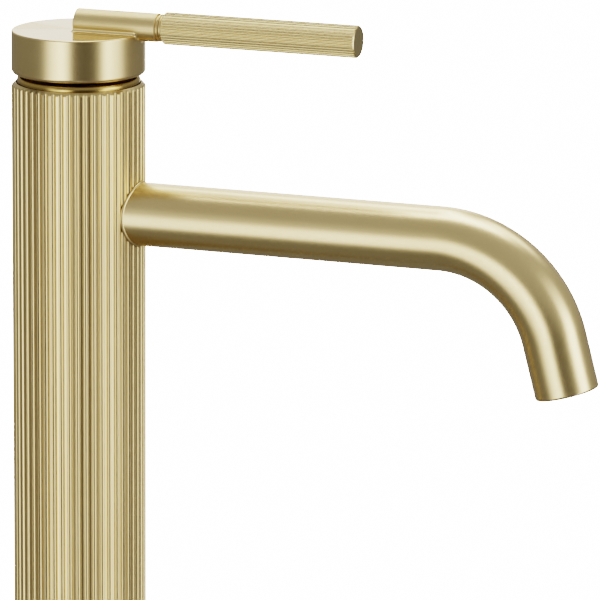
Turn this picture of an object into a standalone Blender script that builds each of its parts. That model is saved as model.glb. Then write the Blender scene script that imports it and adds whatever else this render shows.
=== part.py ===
"""Tall single-lever basin mixer.

A fluted column stands on the worktop. A ceramic-disc cartridge sits in its head under a flat cap
with a lever, and a fixed tube spout leaves its side. Metres, +Z up. The origin is the centre of
the column's foot on the worktop, and the spout and the lever point along +X.
"""

import math

import bmesh
import bpy
from mathutils import Matrix, Vector

MM = 0.001
GAP = 0.3 * MM

# Column
SHOULDER_Z = 290.0 * MM
COLUMN_R = 23.5 * MM
COLUMN_BORE_R = 20.75 * MM
COLUMN_FLUTES = 52
COLUMN_FLUTE_DEPTH = 0.55 * MM
SHOULDER_BEVEL = (1.35 * MM, 1.3 * MM)
RING_SEAT = (22.0 * MM, 4.8 * MM)

# Foot and worktop fixing
FOOT_RING_R = 24.5 * MM
FOOT_RING_BORE_R = 16.0 * MM
FOOT_RING_H = 4.0 * MM
FOOT_PLUG_H = 12.0 * MM
STUD_R = 3.0 * MM
STUD_OFFSET = 12.0 * MM
STUD_Z = (-52.0 * MM, 15.0 * MM)
HOSE_SLOT = (26.0 * MM, 14.0 * MM)
WORKTOP_THICKNESS = 25.0 * MM
CLAMP_R = 24.0 * MM
CLAMP_PAD_H = 3.0 * MM
CLAMP_PLATE_H = 3.0 * MM
NUT_FLATS = 10.0 * MM
NUT_H = 5.0 * MM

# Spout: level run, bend, and a short straight end
SPOUT_Z = SHOULDER_Z - 45.6 * MM
SPOUT_R = 11.2 * MM
SPOUT_BORE_R = 9.6 * MM
SPOUT_RUN_X = 134.0 * MM
SPOUT_BEND_R = 43.0 * MM
SPOUT_TURN = math.radians(75.2)
SPOUT_END = 19.3 * MM
SPOUT_RIM = 0.7 * MM

# Lever and cap
CAP_R = 23.5 * MM
CAP_Z = (SHOULDER_Z + 3.2 * MM, SHOULDER_Z + 18.3 * MM)
CAP_WALL = 1.7 * MM
CAP_CEILING_Z = SHOULDER_Z + 11.5 * MM
HUB_R = 7.2 * MM
HUB_FOOT_Z = SHOULDER_Z + 1.0 * MM
LEVER_Z = SHOULDER_Z + 20.9 * MM
ARM_R = 5.03 * MM
ARM_X = (-0.3 * MM, 30.2 * MM)
ARM_NECK_R = 4.75 * MM
GRIP_X = (32.4 * MM, 103.7 * MM)
GRIP_R = 5.7 * MM
GRIP_FLUTES = 36
GRIP_FLUTE_DEPTH = 0.28 * MM
GRIP_STUD_R = 2.5 * MM
GRIP_STUD_X = (21.3 * MM, 44.0 * MM)
SCREW_R = 2.0 * MM
SCREW_Z = SHOULDER_Z + 7.6 * MM

# Valve block and cartridge, top to bottom
LIFT_Z = SHOULDER_Z - 12.75 * MM
BLOCK_R = 20.4 * MM
BLOCK_Z = (SHOULDER_Z - 62.0 * MM, SHOULDER_Z - 5.1 * MM)
CHAMBER_R = 17.7 * MM
CHAMBER_FLOOR_Z = SHOULDER_Z - 36.3 * MM
NUT_SEAT_Z = SHOULDER_Z - 10.6 * MM
HOUSING_TOP_Z = NUT_SEAT_Z + 0.1 * MM
HOUSING_LIP_Z = HOUSING_TOP_Z - 2.1 * MM
CARTRIDGE_R = 17.4 * MM
CARTRIDGE_BORE_R = 15.8 * MM
DISC_T = 3.0 * MM
FIXED_DISC_Z = SHOULDER_Z - 31.4 * MM
MOVING_DISC_Z = FIXED_DISC_Z + DISC_T + GAP
CARRIER_Z = MOVING_DISC_Z + DISC_T + GAP
CARRIER_T = 5.0 * MM
TURRET_Z = CARRIER_Z + CARRIER_T + GAP
SLIDER_R = 13.6 * MM
SLIDER_REST_X = -1.8 * MM
STEM_SIDE = 8.0 * MM
PIN_R = 1.5 * MM
FINGER_Z = SHOULDER_Z - 22.0 * MM
FINGER_R = 2.5 * MM
INLET_XY = (6.0 * MM, 7.0 * MM)
INLET_R = 2.8 * MM
MIXED_X = -6.5 * MM
MIXED_R = 3.2 * MM

# Turns a piece made along Z so that it lies along X
ALONG_X = math.pi / 2

# Sides of large and of small round pieces
ROUND_STEPS = 36
SMALL_STEPS = 24

FINISHES = {
    "brushed_gold": ((0.60, 0.50, 0.29), 1.0, 0.32),
    "polished_gold": ((0.56, 0.42, 0.20), 1.0, 0.15),
    "raw_brass": ((0.66, 0.48, 0.22), 1.0, 0.35),
    "stainless_steel": ((0.60, 0.60, 0.58), 1.0, 0.30),
    "moulded_acetal": ((0.74, 0.74, 0.71), 0.0, 0.45),
    "alumina_ceramic": ((0.90, 0.89, 0.84), 0.0, 0.20),
    "black_rubber": ((0.03, 0.03, 0.03), 0.0, 0.80),
}


def finish(name):
    """The Principled material of that name, made on its first use."""
    made = bpy.data.materials.get(name)
    if made is None:
        colour, metallic, roughness = FINISHES[name]
        made = bpy.data.materials.new(name)
        made.use_nodes = True
        shader = made.node_tree.nodes["Principled BSDF"]
        shader.inputs["Base Color"].default_value = (*colour, 1.0)
        shader.inputs["Metallic"].default_value = metallic
        shader.inputs["Roughness"].default_value = roughness
    return made


def joint_axis(name, z, parent=None):
    """An empty on a joint's axis, which the pieces that move with the joint are parented to."""
    empty = bpy.data.objects.new(name, None)
    empty.empty_display_size = 10 * MM
    bpy.context.scene.collection.objects.link(empty)
    empty.location = (0, 0, z)
    if parent is not None:
        empty.parent = parent
        empty.location.z -= parent.location.z
    bpy.context.view_layer.update()
    return empty


def solid(name, bm, look, location=(0, 0, 0), turn_y=0.0, parent=None):
    """One named piece from a closed bmesh, placed in the whole mixer's frame."""
    bmesh.ops.recalc_face_normals(bm, faces=bm.faces)
    mesh = bpy.data.meshes.new(name)
    bm.to_mesh(mesh)
    bm.free()
    mesh.shade_smooth()
    mesh.set_sharp_from_angle(angle=math.radians(32))
    mesh.materials.append(finish(look))
    obj = bpy.data.objects.new(name, mesh)
    bpy.context.scene.collection.objects.link(obj)
    obj.location = location
    obj.rotation_euler = (0, turn_y, 0)
    if parent is not None:
        obj.parent = parent
        obj.matrix_parent_inverse = parent.matrix_world.inverted()
    return obj


def combine(target, operation, tool_name, bm, location=(0, 0, 0), turn_y=0.0):
    """Cuts, joins or intersects target with a hidden tool solid."""
    tool = solid(tool_name, bm, target.data.materials[0].name, location, turn_y, target.parent)
    tool.hide_render = True
    tool.display_type = "WIRE"
    boolean = target.modifiers.new(tool_name, "BOOLEAN")
    boolean.operation = operation
    boolean.object = tool


def turned(profile, steps=ROUND_STEPS):
    """A closed (radius, height) profile turned about Z. Points at radius 0 lie on the axis."""
    bm = bmesh.new()
    points = [bm.verts.new((radius, 0, z)) for radius, z in profile]
    pairs = zip(points, points[1:] + points[:1])
    edges = [bm.edges.new(pair) for pair in pairs if max(v.co.x for v in pair) > 0]
    bmesh.ops.spin(
        bm,
        geom=points + edges,
        axis=(0, 0, 1),
        cent=(0, 0, 0),
        angle=math.tau,
        steps=steps,
        use_merge=True,
    )
    bmesh.ops.remove_doubles(bm, verts=bm.verts, dist=1e-7)
    return bm


def bar(radius, start, end, steps=SMALL_STEPS, chamfer=0.0):
    """A round bar along Z, with a chamfer at both ends where one is given."""
    if chamfer == 0:
        return turned([(0, start), (radius, start), (radius, end), (0, end)], steps)
    profile = [(0, start), (radius - chamfer, start), (radius, start + chamfer)]
    profile += [(radius, end - chamfer), (radius - chamfer, end), (0, end)]
    return turned(profile, steps)


def bar_across(radius, half_length, steps):
    """A round bar along Y, centred on the origin."""
    bm = bar(radius, -half_length, half_length, steps)
    bmesh.ops.transform(bm, matrix=Matrix.Rotation(math.pi / 2, 4, "X"), verts=bm.verts)
    return bm


def ring(outer, inner, start, end, steps=ROUND_STEPS):
    """A plain ring with a square section."""
    return turned([(inner, start), (outer, start), (outer, end), (inner, end)], steps)


def o_ring(radius, section, steps=SMALL_STEPS, sides=6):
    """A rubber ring with a round section, centred on the origin."""
    turn = math.tau / sides
    return turned(
        [(radius + section * math.cos(i * turn), section * math.sin(i * turn)) for i in range(sides)],
        steps,
    )


def prism(outline, start, end):
    """An outline in XY, raised from start to end."""
    bm = bmesh.new()
    face = bm.faces.new([bm.verts.new((x, y, start)) for x, y in outline])
    raised = bmesh.ops.extrude_face_region(bm, geom=[face])["geom"]
    top = [v for v in raised if isinstance(v, bmesh.types.BMVert)]
    bmesh.ops.translate(bm, verts=top, vec=(0, 0, end - start))
    return bm


def block(x, y, z):
    """A rectangular block from (low, high) pairs."""
    return prism([(x[0], y[0]), (x[1], y[0]), (x[1], y[1]), (x[0], y[1])], *z)


def oblong(length, width, steps=8):
    """A slot's outline along X, with round ends."""
    radius = width / 2
    outline = []
    for side in (1, -1):
        for i in range(steps + 1):
            angle = math.pi * (i / steps - 0.5)
            x = length / 2 - radius + radius * math.cos(angle)
            outline.append((side * x, side * radius * math.sin(angle)))
    return outline


def polygon(radius, sides, turn=0.0):
    """A regular polygon's outline, by its corner radius."""
    angles = [math.tau * i / sides + turn for i in range(sides)]
    return [(radius * math.cos(a), radius * math.sin(a)) for a in angles]


def fluted(radius, depth, count):
    """The outline of a round bar with that many round grooves along it, four points to a groove."""
    pitch = math.tau / count
    section = ((0.0, 1.0), (0.3, 0.45), (0.5, 0.0), (0.7, 0.45))
    outline = []
    for i in range(count):
        for share, cut in section:
            angle = (i + share) * pitch
            r = radius - cut * depth
            outline.append((r * math.cos(angle), r * math.sin(angle)))
    return outline


def quarter(centre, radius, start_deg, end_deg, steps=3):
    """Points of a rounded corner in a turned profile."""
    points = []
    for i in range(steps + 1):
        angle = math.radians(start_deg + (end_deg - start_deg) * i / steps)
        points.append((centre[0] + radius * math.cos(angle), centre[1] + radius * math.sin(angle)))
    return points


def make_column():
    """The drawn tube: its grooves are cut along it, and its shoulder is bevelled across them."""
    foot = FOOT_RING_H + GAP
    seat_r, seat_depth = RING_SEAT
    section = fluted(COLUMN_R, COLUMN_FLUTE_DEPTH, COLUMN_FLUTES)
    shell = solid("body_shell", prism(section, foot, SHOULDER_Z), "brushed_gold")
    run, drop = SHOULDER_BEVEL
    top_r = COLUMN_R - run
    past_side = 1.5
    profile = [
        (COLUMN_BORE_R, foot - MM),
        (top_r + run * past_side, foot - MM),
        (top_r + run * past_side, SHOULDER_Z - drop * past_side),
        (top_r, SHOULDER_Z),
        (top_r, SHOULDER_Z + MM),
        (seat_r, SHOULDER_Z + MM),
        (seat_r, SHOULDER_Z - seat_depth),
        (COLUMN_BORE_R, SHOULDER_Z - seat_depth),
    ]
    combine(shell, "INTERSECT", "form_body_shell", turned(profile, COLUMN_FLUTES))
    hole = bar(SPOUT_R + GAP, COLUMN_BORE_R / 2, COLUMN_R + 5 * MM, 32)
    combine(shell, "DIFFERENCE", "cut_spout_hole", hole, (0, 0, SPOUT_Z), ALONG_X)


def make_foot():
    """The foot ring with its sealing groove, and the threaded plug in the column's foot."""
    groove_z = 2.0 * MM
    groove_in, groove_out = 21.0 * MM, 23.2 * MM
    profile = [
        (FOOT_RING_BORE_R, 0),
        (groove_in, 0),
        (groove_in, groove_z),
        (groove_out, groove_z),
        (groove_out, 0),
        (FOOT_RING_R, 0),
        *quarter((FOOT_RING_R - MM, FOOT_RING_H - MM), MM, 0, 90),
        (FOOT_RING_BORE_R, FOOT_RING_H),
    ]
    solid("base_ring", turned(profile), "brushed_gold")
    gasket = ring(groove_out - GAP, groove_in + GAP, 0.2 * MM, groove_z - GAP)
    solid("base_gasket", gasket, "black_rubber")
    start = FOOT_RING_H + GAP
    plug = solid("base_insert", bar(BLOCK_R, start, start + FOOT_PLUG_H, ROUND_STEPS), "raw_brass")
    through = (start - MM, start + FOOT_PLUG_H + MM)
    combine(plug, "DIFFERENCE", "cut_hose_slot", prism(oblong(*HOSE_SLOT), *through))
    for side in (-1, 1):
        hole = bar(STUD_R + GAP, *through)
        combine(plug, "DIFFERENCE", f"cut_plug_stud_{side + 1}", hole, (0, side * STUD_OFFSET, 0))


def make_worktop_fixing():
    """Two studs, the pad and plate that they pull up under the worktop, and their nuts."""
    pad_z = -WORKTOP_THICKNESS - CLAMP_PAD_H
    plate_z = pad_z - GAP - CLAMP_PLATE_H
    nut_z = plate_z - GAP - NUT_H
    levels = (
        ("clamp_pad", pad_z, CLAMP_PAD_H, "black_rubber"),
        ("clamp_plate", plate_z, CLAMP_PLATE_H, "stainless_steel"),
    )
    for name, z, height, look in levels:
        plate = solid(name, bar(CLAMP_R, 0, height, ROUND_STEPS), look, (0, 0, z))
        through = (-MM, height + MM)
        slot_past_edge = 3 * CLAMP_R
        slot = prism(oblong(HOSE_SLOT[0] + slot_past_edge, HOSE_SLOT[1]), *through)
        combine(plate, "DIFFERENCE", f"cut_{name}_slot", slot, (-slot_past_edge / 2, 0, z))
        for side in (-1, 1):
            hole = bar(STUD_R + 0.4 * MM, *through)
            tool_name = f"cut_{name}_stud_{side + 1}"
            combine(plate, "DIFFERENCE", tool_name, hole, (0, side * STUD_OFFSET, z))
    for side, word in ((-1, "left"), (1, "right")):
        spot = (0, side * STUD_OFFSET, 0)
        stud = bar(STUD_R, *STUD_Z, chamfer=0.6 * MM)
        solid(f"mounting_stud_{word}", stud, "stainless_steel", spot)
        hexagon = polygon(NUT_FLATS / 2 / math.cos(math.pi / 6), 6)
        nut = solid(f"stud_nut_{word}", prism(hexagon, nut_z, nut_z + NUT_H), "stainless_steel", spot)
        hole = bar(STUD_R + GAP, nut_z - MM, nut_z + NUT_H + MM)
        combine(nut, "DIFFERENCE", f"cut_nut_{word}", hole, spot)


def make_valve_block():
    """The turned brass block: chamber on top, two inlet ports below, outlet port at the side."""
    nut_bore_r = 19.1 * MM
    floor = CHAMBER_FLOOR_Z
    profile = [
        (0, BLOCK_Z[0]),
        (BLOCK_R, BLOCK_Z[0]),
        (BLOCK_R, BLOCK_Z[1]),
        (nut_bore_r, BLOCK_Z[1]),
        (nut_bore_r, NUT_SEAT_Z),
        (CHAMBER_R, NUT_SEAT_Z),
        (CHAMBER_R, floor),
        (0, floor),
    ]
    body = solid("valve_block", turned(profile), "raw_brass")
    port_top_z = BLOCK_Z[0] + 11 * MM
    port_r = 4.7 * MM
    inlet_x, inlet_y = INLET_XY
    port_y = inlet_y + 0.6 * MM
    for side, word in ((-1, "hot"), (1, "cold")):
        passage = bar(INLET_R, port_top_z - MM, floor + MM, 16)
        combine(body, "DIFFERENCE", f"cut_{word}_passage", passage, (inlet_x, side * inlet_y, 0))
        port = bar(port_r, BLOCK_Z[0] - MM, port_top_z, 20)
        combine(body, "DIFFERENCE", f"cut_{word}_port", port, (inlet_x, side * port_y, 0))
    passage = bar(MIXED_R, SPOUT_Z, floor + MM, 16)
    combine(body, "DIFFERENCE", "cut_mixed_passage", passage, (MIXED_X, 0, 0))
    outlet_start = 12.3 * MM
    gallery = bar(3.9 * MM, MIXED_X - 2.5 * MM, outlet_start + MM, 18)
    combine(body, "DIFFERENCE", "cut_gallery", gallery, (0, 0, SPOUT_Z), ALONG_X)
    outlet = bar(9.1 * MM, outlet_start, 22 * MM)
    combine(body, "DIFFERENCE", "cut_outlet_port", outlet, (0, 0, SPOUT_Z), ALONG_X)


def make_cartridge_housing():
    """The fixed half of the 35 mm cartridge: base, seals, lower disc and housing, under a gland nut."""
    base_z = CHAMBER_FLOOR_Z + GAP
    base_top = FIXED_DISC_Z - GAP
    disc_top = FIXED_DISC_Z + DISC_T
    base = bar(CARTRIDGE_R, base_z, base_top, ROUND_STEPS)
    base = solid("cartridge_base", base, "moulded_acetal")
    disc = bar(CARTRIDGE_BORE_R - 0.4 * MM, FIXED_DISC_Z, disc_top, 32)
    disc = solid("fixed_disc", disc, "alumina_ceramic")
    ports = (
        ("hot", (INLET_XY[0], -INLET_XY[1]), INLET_R),
        ("cold", INLET_XY, INLET_R),
        ("mixed", (MIXED_X, 0), MIXED_R),
    )
    seal_section = 0.6 * MM
    seal_z = CHAMBER_FLOOR_Z + seal_section + 0.1 * MM
    for word, (x, y), radius in ports:
        spot = (x, y, 0)
        hole = bar(radius, base_z - MM, base_top + MM, 16)
        combine(base, "DIFFERENCE", f"cut_base_{word}", hole, spot)
        seat = bar(radius + 1.6 * MM, base_z - MM, base_z + 1.6 * MM, 20)
        combine(base, "DIFFERENCE", f"cut_seal_seat_{word}", seat, spot)
        hole = bar(radius, base_top, disc_top + MM, 16)
        combine(disc, "DIFFERENCE", f"cut_disc_{word}", hole, spot)
        seal = o_ring(radius + 0.8 * MM, seal_section, 18)
        solid(f"port_seal_{word}", seal, "black_rubber", (x, y, seal_z))

    top_z, lip_z = HOUSING_TOP_Z, HOUSING_LIP_Z
    lip_r = 12.9 * MM
    profile = [
        (CARTRIDGE_BORE_R, FIXED_DISC_Z),
        (CARTRIDGE_R, FIXED_DISC_Z),
        (CARTRIDGE_R, top_z),
        (lip_r, top_z),
        (lip_r, lip_z),
        (CARTRIDGE_BORE_R, lip_z),
    ]
    solid("cartridge_housing", turned(profile), "moulded_acetal")

    nut_z = (top_z + GAP, SHOULDER_Z - 3.0 * MM)
    nut = solid("cartridge_nut", ring(18.8 * MM, 13.2 * MM, *nut_z), "raw_brass")
    notch = block((-20 * MM, 20 * MM), (-2 * MM, 2 * MM), (nut_z[1] - 2.5 * MM, nut_z[1] + MM))
    combine(nut, "DIFFERENCE", "cut_spanner_notches", notch)


def make_turret(swing):
    """The turret, which turns in the housing with the lever, and the pin that the stem tilts on."""
    flange_r, flange_z = 15.4 * MM, HOUSING_LIP_Z - GAP
    neck_r, neck_z = 12.5 * MM, SHOULDER_Z - 7.5 * MM
    profile = [(0, TURRET_Z), (flange_r, TURRET_Z), (flange_r, flange_z), (neck_r, flange_z)]
    profile += [(neck_r, neck_z), (0, neck_z)]
    turret = solid("cartridge_turret", turned(profile, 32), "moulded_acetal", parent=swing)
    slot = block((-7.2 * MM, 6.2 * MM), (-4.4 * MM, 4.4 * MM), (TURRET_Z - MM, SHOULDER_Z))
    combine(turret, "DIFFERENCE", "cut_stem_slot", slot)
    level = (0, 0, LIFT_Z)
    pin_hole = bar_across(PIN_R + GAP, flange_r + MM, 16)
    combine(turret, "DIFFERENCE", "cut_pin_hole", pin_hole, level)
    pin = bar_across(PIN_R, neck_r - GAP, 16)
    solid("pivot_pin", pin, "stainless_steel", level, parent=swing)


def make_slider(slide):
    """Carrier and moving disc, which the stem's finger pushes across the fixed disc together."""
    rest = (SLIDER_REST_X, 0, 0)
    carrier = bar(SLIDER_R, CARRIER_Z, CARRIER_Z + CARRIER_T, 32)
    carrier = solid("disc_carrier", carrier, "moulded_acetal", rest, parent=slide)
    socket = bar(FINGER_R + 0.5 * MM, CARRIER_Z - MM, TURRET_Z, 20)
    combine(carrier, "DIFFERENCE", "cut_finger_socket", socket)
    disc = bar(SLIDER_R, MOVING_DISC_Z, MOVING_DISC_Z + DISC_T, 32)
    disc = solid("moving_disc", disc, "alumina_ceramic", rest, parent=slide)
    recess = bar(7.2 * MM, MOVING_DISC_Z - MM, MOVING_DISC_Z + 1.6 * MM)
    combine(disc, "DIFFERENCE", "cut_mixing_recess", recess, (-3.0 * MM, 0, 0))


def make_stem(lift):
    """The square lever stem, with the ball-ended finger that moves the carrier."""
    half = STEM_SIDE / 2
    stem_z = (LIFT_Z - 4.0 * MM, SHOULDER_Z + 14.8 * MM)
    stem = block((-half, half), (-half, half), stem_z)
    stem = solid("cartridge_stem", stem, "stainless_steel", parent=lift)
    shank_r = 1.9 * MM
    shank_top = stem_z[0] + MM
    ball_start = math.degrees(math.acos(shank_r / FINGER_R))
    ball = quarter((0, FINGER_Z), FINGER_R, ball_start, -90, 6)
    finger = [(0, shank_top), (shank_r, shank_top), *ball[:-1], (0, FINGER_Z - FINGER_R)]
    combine(stem, "UNION", "form_finger", turned(finger, 20))
    pivot_hole = bar_across(PIN_R + 0.15 * MM, STEM_SIDE, 20)
    combine(stem, "DIFFERENCE", "cut_pivot_hole", pivot_hole, (0, 0, LIFT_Z))


def make_cover_ring():
    """The smooth ring that fills the gap between the column and the cap."""
    outer, inner, hole = 21.7 * MM, 20.2 * MM, 15.5 * MM
    low, under, top = (SHOULDER_Z + z * MM for z in (-4.5, 0.9, 2.65))
    edge = 0.4 * MM
    profile = [(inner, low), (outer, low), (outer, top - edge), (outer - edge, top)]
    profile += [(hole, top), (hole, under), (inner, under)]
    solid("cover_ring", turned(profile, 40), "polished_gold")


def make_handle(lift):
    """The hollow cap, with the hub that sits on the stem and the lever's arm along its top."""
    lip, edge = 1.4 * MM, 0.5 * MM
    low, top = CAP_Z
    bore_r = CAP_R - CAP_WALL
    profile = [
        (0, top),
        *reversed(quarter((CAP_R - edge, top - edge), edge, 0, 90, 2)),
        *quarter((CAP_R - lip, low + lip), lip, 0, -90, 4),
        (bore_r, low),
        (bore_r, CAP_CEILING_Z),
        (HUB_R, CAP_CEILING_Z),
        (HUB_R, HUB_FOOT_Z),
        (0, HUB_FOOT_Z),
    ]
    cap = solid("handle_cap", turned(profile, 44), "brushed_gold", parent=lift)
    end_edge = 0.35 * MM
    neck_x = GRIP_X[0] - GAP
    arm = [
        (0, ARM_X[0]),
        (ARM_R - end_edge, ARM_X[0]),
        (ARM_R, ARM_X[0] + end_edge),
        (ARM_R, ARM_X[1] - end_edge),
        (ARM_R - end_edge, ARM_X[1]),
        (ARM_NECK_R - end_edge, ARM_X[1]),
        (ARM_NECK_R - end_edge, neck_x),
        (0, neck_x),
    ]
    level = (0, 0, LEVER_Z)
    combine(cap, "UNION", "form_arm", turned(arm, 24), level, ALONG_X)
    half = STEM_SIDE / 2 + 0.25 * MM
    socket = block((-half, half), (-half, half), (HUB_FOOT_Z - MM, SHOULDER_Z + 15.1 * MM))
    combine(cap, "DIFFERENCE", "cut_stem_socket", socket)
    bore = bar(GRIP_STUD_R + GAP, GRIP_STUD_X[0] - GAP, GRIP_X[0], 20)
    combine(cap, "DIFFERENCE", "cut_arm_bore", bore, level, ALONG_X)
    hole_r = SCREW_R + GAP
    thread = bar(hole_r, -HUB_R - 2 * MM, -STEM_SIDE / 2 + MM, 16)
    combine(cap, "DIFFERENCE", "cut_screw_thread", thread, (0, 0, SCREW_Z), ALONG_X)
    access = bar(hole_r, -CAP_R - MM, -bore_r + MM, 16)
    combine(cap, "DIFFERENCE", "cut_screw_access", access, (0, 0, SCREW_Z), ALONG_X)


def make_cap_screw(lift):
    """The grub screw that bears on the stem, and the plug that closes its hole in the cap's back."""
    level = (0, 0, SCREW_Z)
    tip, socket_foot, tail = -4.3 * MM, -6.6 * MM, -8.2 * MM
    screw = bar(SCREW_R, tail, tip, 16)
    screw = solid("handle_grub_screw", screw, "stainless_steel", level, ALONG_X, lift)
    socket = prism(polygon(1.15 * MM, 6), tail - MM, socket_foot)
    combine(screw, "DIFFERENCE", "cut_hex_socket", socket, level, ALONG_X)
    face, inner = -CAP_R - 0.1 * MM, -CAP_R + 1.6 * MM
    plug = [(0, face), (SCREW_R - 0.7 * MM, face + 0.1 * MM), (SCREW_R, face + 0.4 * MM)]
    plug += [(SCREW_R, inner), (0, inner)]
    solid("index_plug", turned(plug, 16), "brushed_gold", level, ALONG_X, lift)


def make_grip(lift):
    """The reeded grip: a fluted bar, chamfered at both ends, on a stud in the arm's end."""
    level = (0, 0, LEVER_Z)
    stud = bar(GRIP_STUD_R, *GRIP_STUD_X, chamfer=0.5 * MM)
    solid("grip_stud", stud, "stainless_steel", level, ALONG_X, lift)
    grip = prism(fluted(GRIP_R, GRIP_FLUTE_DEPTH, GRIP_FLUTES), *GRIP_X)
    grip = solid("lever_grip", grip, "brushed_gold", level, ALONG_X, lift)
    chamfer, past_side = 0.5 * MM, 0.3 * MM
    form = [
        (0, GRIP_X[0]),
        (GRIP_R - chamfer, GRIP_X[0]),
        (GRIP_R + past_side, GRIP_X[0] + chamfer + past_side),
        (GRIP_R + past_side, GRIP_X[1] - chamfer - past_side),
        (GRIP_R - chamfer, GRIP_X[1]),
        (0, GRIP_X[1]),
    ]
    combine(grip, "INTERSECT", "form_grip", turned(form, GRIP_FLUTES), level, ALONG_X)
    bore = bar(GRIP_STUD_R + GAP, GRIP_X[0] - MM, GRIP_STUD_X[1] + 2 * MM, 20)
    combine(grip, "DIFFERENCE", "cut_grip_bore", bore, level, ALONG_X)


def spout_line(bend_steps):
    """Centres and directions along the spout, from inside the column to its mouth."""
    line = [(Vector((14 * MM, 0, SPOUT_Z)), 0.0), (Vector((SPOUT_RUN_X, 0, SPOUT_Z)), 0.0)]
    for i in range(1, bend_steps + 1):
        turn = SPOUT_TURN * i / bend_steps
        x = SPOUT_RUN_X + SPOUT_BEND_R * math.sin(turn)
        z = SPOUT_Z - SPOUT_BEND_R * (1 - math.cos(turn))
        line.append((Vector((x, 0, z)), turn))
    out = Vector((math.cos(SPOUT_TURN), 0, -math.sin(SPOUT_TURN)))
    start = line[-1][0]
    line += [(start + out * (SPOUT_END - SPOUT_RIM), SPOUT_TURN), (start + out * SPOUT_END, SPOUT_TURN)]
    return line


def make_spout():
    """The bent tube. Its inner end is cut to the valve block's curve, and its rim is bevelled."""
    line = spout_line(10)
    sides = 28
    radii = [SPOUT_R] * (len(line) - 1) + [SPOUT_R - SPOUT_RIM]
    sections = list(zip(line, radii)) + [(place, SPOUT_BORE_R) for place in reversed(line)]
    bm = bmesh.new()
    loops = []
    for (centre, turn), radius in sections:
        across = Matrix.Translation(centre) @ Matrix.Rotation(ALONG_X + turn, 4, "Y")
        loops.append([bm.verts.new(across @ Vector((x, y, 0))) for x, y in polygon(radius, sides)])
    for near, far in zip(loops, loops[1:] + loops[:1]):
        for i in range(sides):
            j = (i + 1) % sides
            bm.faces.new((near[i], near[j], far[j], far[i]))
    tube = solid("spout_tube", bm, "brushed_gold")
    clear = bar(BLOCK_R + GAP, SPOUT_Z - 2 * SPOUT_R, SPOUT_Z + 2 * SPOUT_R, ROUND_STEPS)
    combine(tube, "DIFFERENCE", "cut_saddle", clear)


def make_spout_joint():
    """The nipple that screws into block and spout, and the ring that seals it in the spout."""
    outer, bore, groove_r = 8.8 * MM, 6.2 * MM, 7.4 * MM
    start, end = 12.6 * MM, 34.0 * MM
    groove = (28.8 * MM, 31.2 * MM)
    profile = [(bore, start), (outer, start), (outer, groove[0]), (groove_r, groove[0])]
    profile += [(groove_r, groove[1]), (outer, groove[1]), (outer, end), (bore, end)]
    solid("spout_spigot", turned(profile, 24), "raw_brass", (0, 0, SPOUT_Z), ALONG_X)
    seal = o_ring(8.5 * MM, 0.9 * MM)
    solid("spout_seal", seal, "black_rubber", (sum(groove) / 2, 0, SPOUT_Z), ALONG_X)


def make_aerator():
    """The flow straightener, set back in the mouth: threaded housing, perforated insert and washer."""
    mouth, turn = spout_line(1)[-1]
    aim = ALONG_X + turn
    steps = 28
    outer, inner, lip_r = SPOUT_BORE_R - GAP, 8.1 * MM, 7.3 * MM
    back, lip, front = -10.0 * MM, -2.5 * MM, -1.5 * MM
    profile = [(inner, back), (outer, back), (outer, front), (lip_r, front), (lip_r, lip), (inner, lip)]
    solid("aerator_housing", turned(profile, steps), "brushed_gold", mouth, aim)
    insert = bar(inner - GAP, back + MM, lip - GAP, steps)
    insert = solid("aerator_insert", insert, "moulded_acetal", mouth, aim)
    hole_spots = [(0, 0)] + polygon(4.6 * MM, 6)
    for i, (x, y) in enumerate(hole_spots):
        hole = bar(1.3 * MM, back, front, 10)
        bmesh.ops.translate(hole, verts=hole.verts, vec=(x, y, 0))
        combine(insert, "DIFFERENCE", f"cut_aerator_{i}", hole, mouth, aim)
    seal = ring(outer - 0.1 * MM, 7.2 * MM, back - 1.9 * MM, back - GAP, steps)
    solid("aerator_seal", seal, "black_rubber", mouth, aim)


def main():
    for obj in list(bpy.data.objects):
        bpy.data.objects.remove(obj, do_unlink=True)
    swing = joint_axis("lever_swing_axis", SHOULDER_Z)
    lift = joint_axis("lever_lift_axis", LIFT_Z, swing)
    slide = joint_axis("disc_slide_axis", CARRIER_Z, swing)
    make_column()
    make_foot()
    make_worktop_fixing()
    make_valve_block()
    make_cartridge_housing()
    make_turret(swing)
    make_slider(slide)
    make_stem(lift)
    make_cover_ring()
    make_handle(lift)
    make_cap_screw(lift)
    make_grip(lift)
    make_spout()
    make_spout_joint()
    make_aerator()


main()
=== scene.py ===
"""Tall single-lever basin mixer in brushed pale gold: its surfaces, its finishes and its studio.

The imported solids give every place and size. Pieces that show are made again here with fine
surfaces, and pieces inside keep their solids and get their real finishes. Metres, +Z up.
"""

import math

import bmesh
import bpy
from mathutils import Matrix, Vector


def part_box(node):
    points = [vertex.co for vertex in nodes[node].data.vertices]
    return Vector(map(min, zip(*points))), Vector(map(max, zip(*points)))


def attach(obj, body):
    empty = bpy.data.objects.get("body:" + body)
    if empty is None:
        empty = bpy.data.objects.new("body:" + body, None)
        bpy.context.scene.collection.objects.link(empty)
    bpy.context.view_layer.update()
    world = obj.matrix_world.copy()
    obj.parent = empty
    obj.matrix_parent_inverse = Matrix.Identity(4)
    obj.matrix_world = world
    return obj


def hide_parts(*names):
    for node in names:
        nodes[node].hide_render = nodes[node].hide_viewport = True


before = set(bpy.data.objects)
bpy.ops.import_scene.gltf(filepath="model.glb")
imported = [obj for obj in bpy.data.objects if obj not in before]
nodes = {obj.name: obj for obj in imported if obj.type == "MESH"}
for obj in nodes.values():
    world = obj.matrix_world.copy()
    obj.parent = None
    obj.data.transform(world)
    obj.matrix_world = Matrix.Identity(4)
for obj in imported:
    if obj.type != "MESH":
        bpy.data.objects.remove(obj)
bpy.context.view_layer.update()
MM = 0.001

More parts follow.
